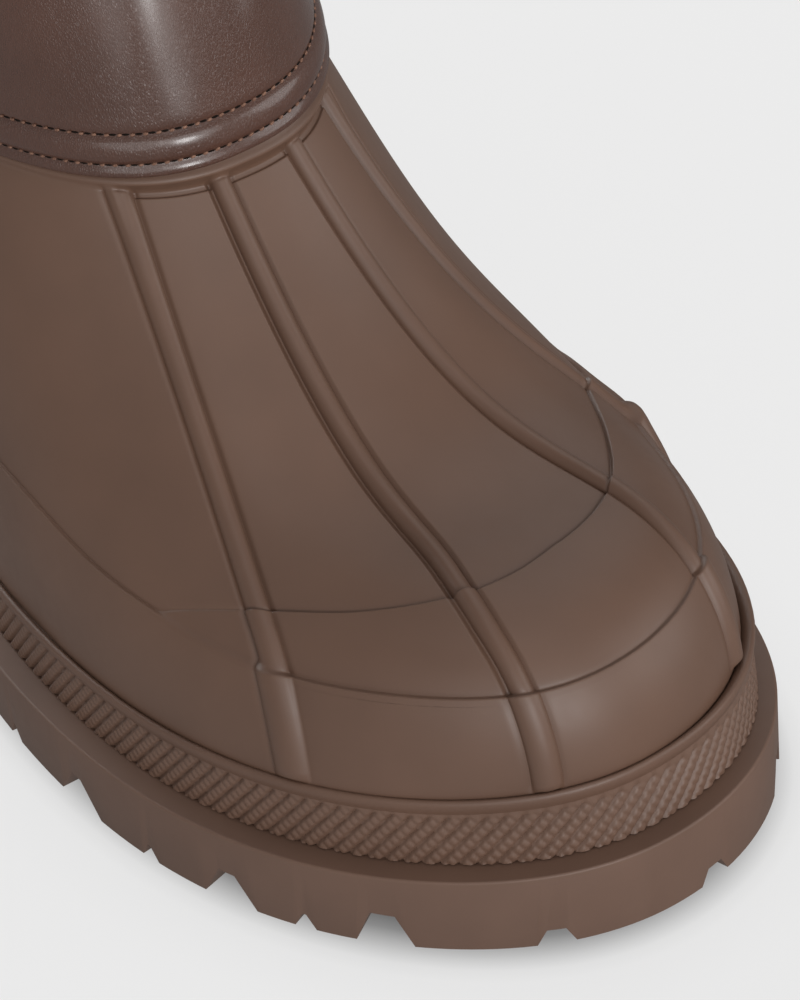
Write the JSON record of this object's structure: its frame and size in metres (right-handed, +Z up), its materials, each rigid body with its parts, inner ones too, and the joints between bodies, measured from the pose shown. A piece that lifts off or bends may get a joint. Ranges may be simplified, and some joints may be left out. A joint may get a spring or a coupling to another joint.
{
  "type": "high boot",
  "caption": "High boot with a ribbed, hollow rubber bottom, a leather shaft and a thick lugged sole, standing open and empty.",
  "frame": {"origin": "on the floor, under the middle of the boot's bounding box", "axes": "+X towards the toe, +Z up along the leg, -Y to the outer (lateral) side of the right foot"},
  "size_m": [0.282, 0.1154, 0.385],
  "materials": {
    "outsole_rubber": "matt brown moulded rubber with a polished top edge",
    "band_rubber": "brown rubber with a moulded diamond grip pattern",
    "insole_textile": "brown felt footbed",
    "shell_rubber": "satin brown moulded rubber",
    "shaft_leather": "dark brown smooth leather, semi-gloss with fine wrinkles"
  },
  "bodies": {
    "root": {"outsole": "outsole_rubber", "midsole": "band_rubber", "insole": "insole_textile", "rubber_shell": "shell_rubber", "shaft": "shaft_leather"}
  },
  "joints": []
}
